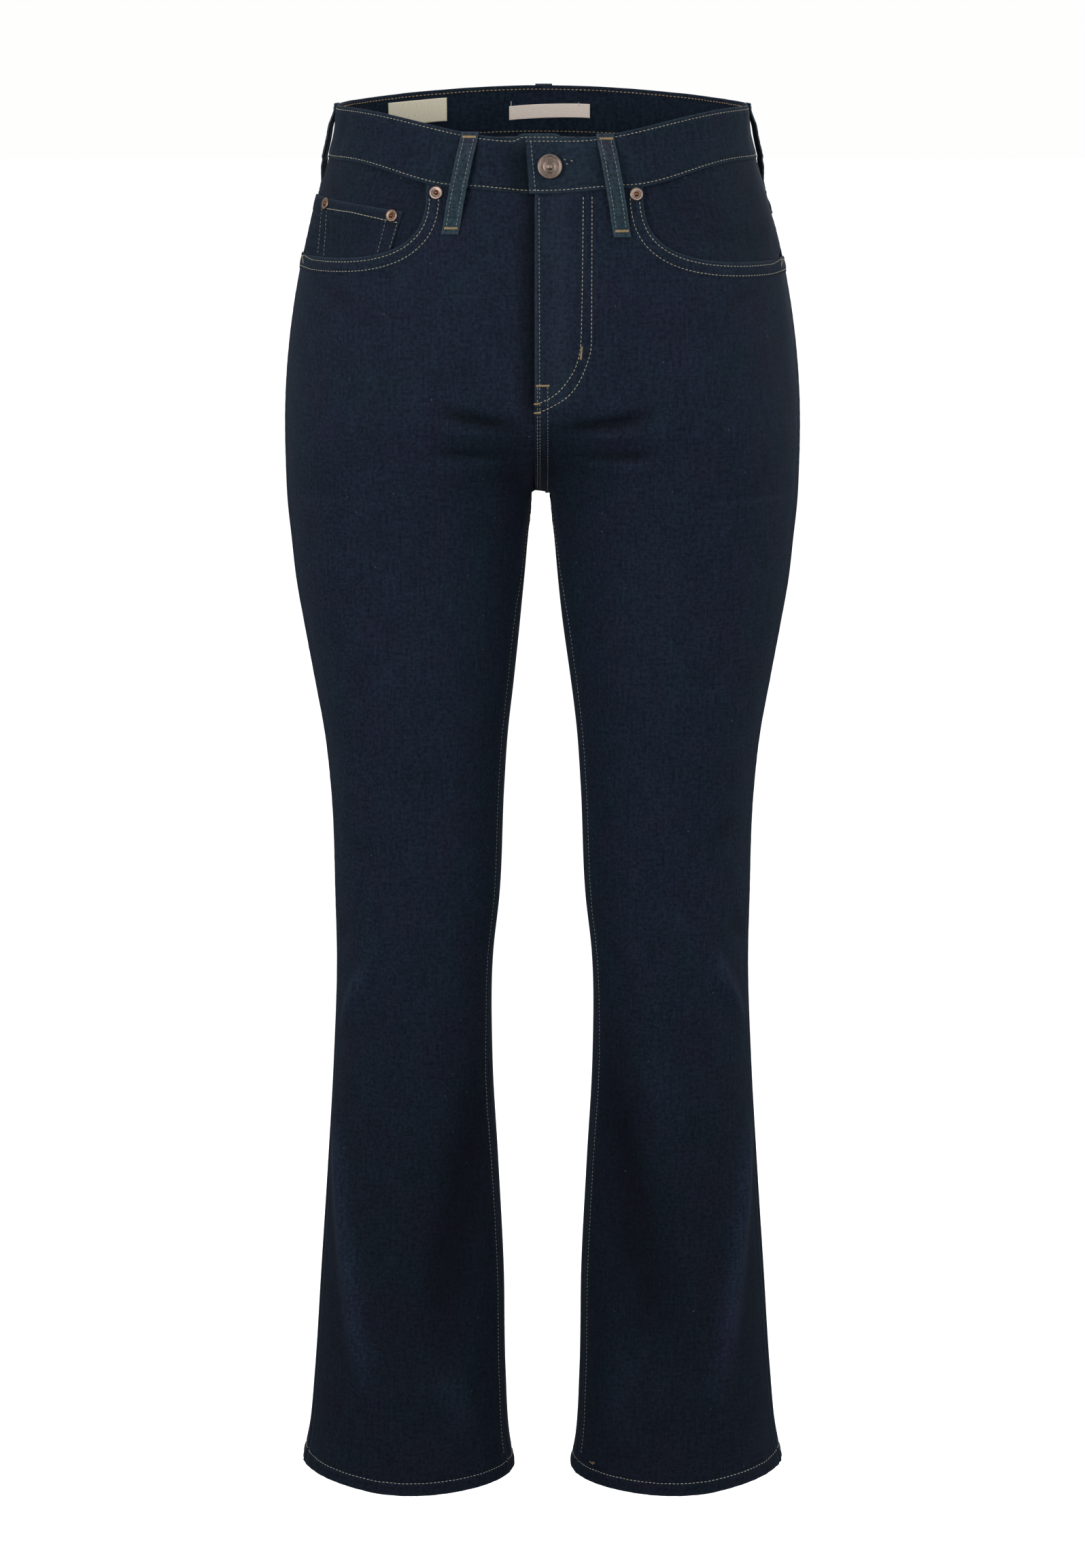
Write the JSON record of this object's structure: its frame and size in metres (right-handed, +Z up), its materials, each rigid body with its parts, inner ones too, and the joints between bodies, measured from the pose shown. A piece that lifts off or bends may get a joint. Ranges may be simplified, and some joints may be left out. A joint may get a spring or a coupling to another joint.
{
  "type": "bootcut jeans",
  "caption": "Women's high-waisted bootcut jeans in dark denim with a zip fly, belt loops and five pockets, filled out and hollow as when worn, with no wearer",
  "frame": {"origin": "the middle of the waist opening, level with the waistband's top edge at the two sides", "axes": "+Z up along the legs' length, the front of the garment faces -Y, +X is the wearer's left"},
  "size_m": [0.362, 0.2391, 1.0007],
  "materials": {
    "denim": "matte, very dark blue twill",
    "denim_facing": "matte, very dark blue twill",
    "loop_denim": "matte, a little lighter from pressing",
    "button_metal": "satin, antiqued",
    "rivet_copper": "satin copper colour",
    "cream_label": "matte woven, bare",
    "white_label": "smooth satin weave, bare",
    "zip_tape": "matte tape",
    "zip_metal": "satin, antiqued"
  },
  "bodies": {
    "root": {"back_left": "denim", "back_right": "denim", "front_left": "denim", "front_right": "denim", "yoke_left": "denim", "yoke_right": "denim", "waistband": "denim", "fly_shield": "denim", "back_pocket_left": "denim", "back_pocket_right": "denim", "watch_pocket": "denim_facing", "pocket_facing_left": "denim_facing", "pocket_facing_right": "denim_facing", "belt_loop_front_left": "loop_denim", "belt_loop_front_right": "loop_denim", "belt_loop_side_left": "loop_denim", "belt_loop_side_right": "loop_denim", "belt_loop_back": "loop_denim", "zip_tape": "zip_tape", "zip_slider": "zip_metal", "button": "button_metal", "rivet_pocket_left": "rivet_copper", "rivet_pocket_right": "rivet_copper", "rivet_watch_inner": "rivet_copper", "rivet_watch_outer": "rivet_copper", "woven_label": "cream_label", "size_label": "white_label"}
  },
  "joints": []
}
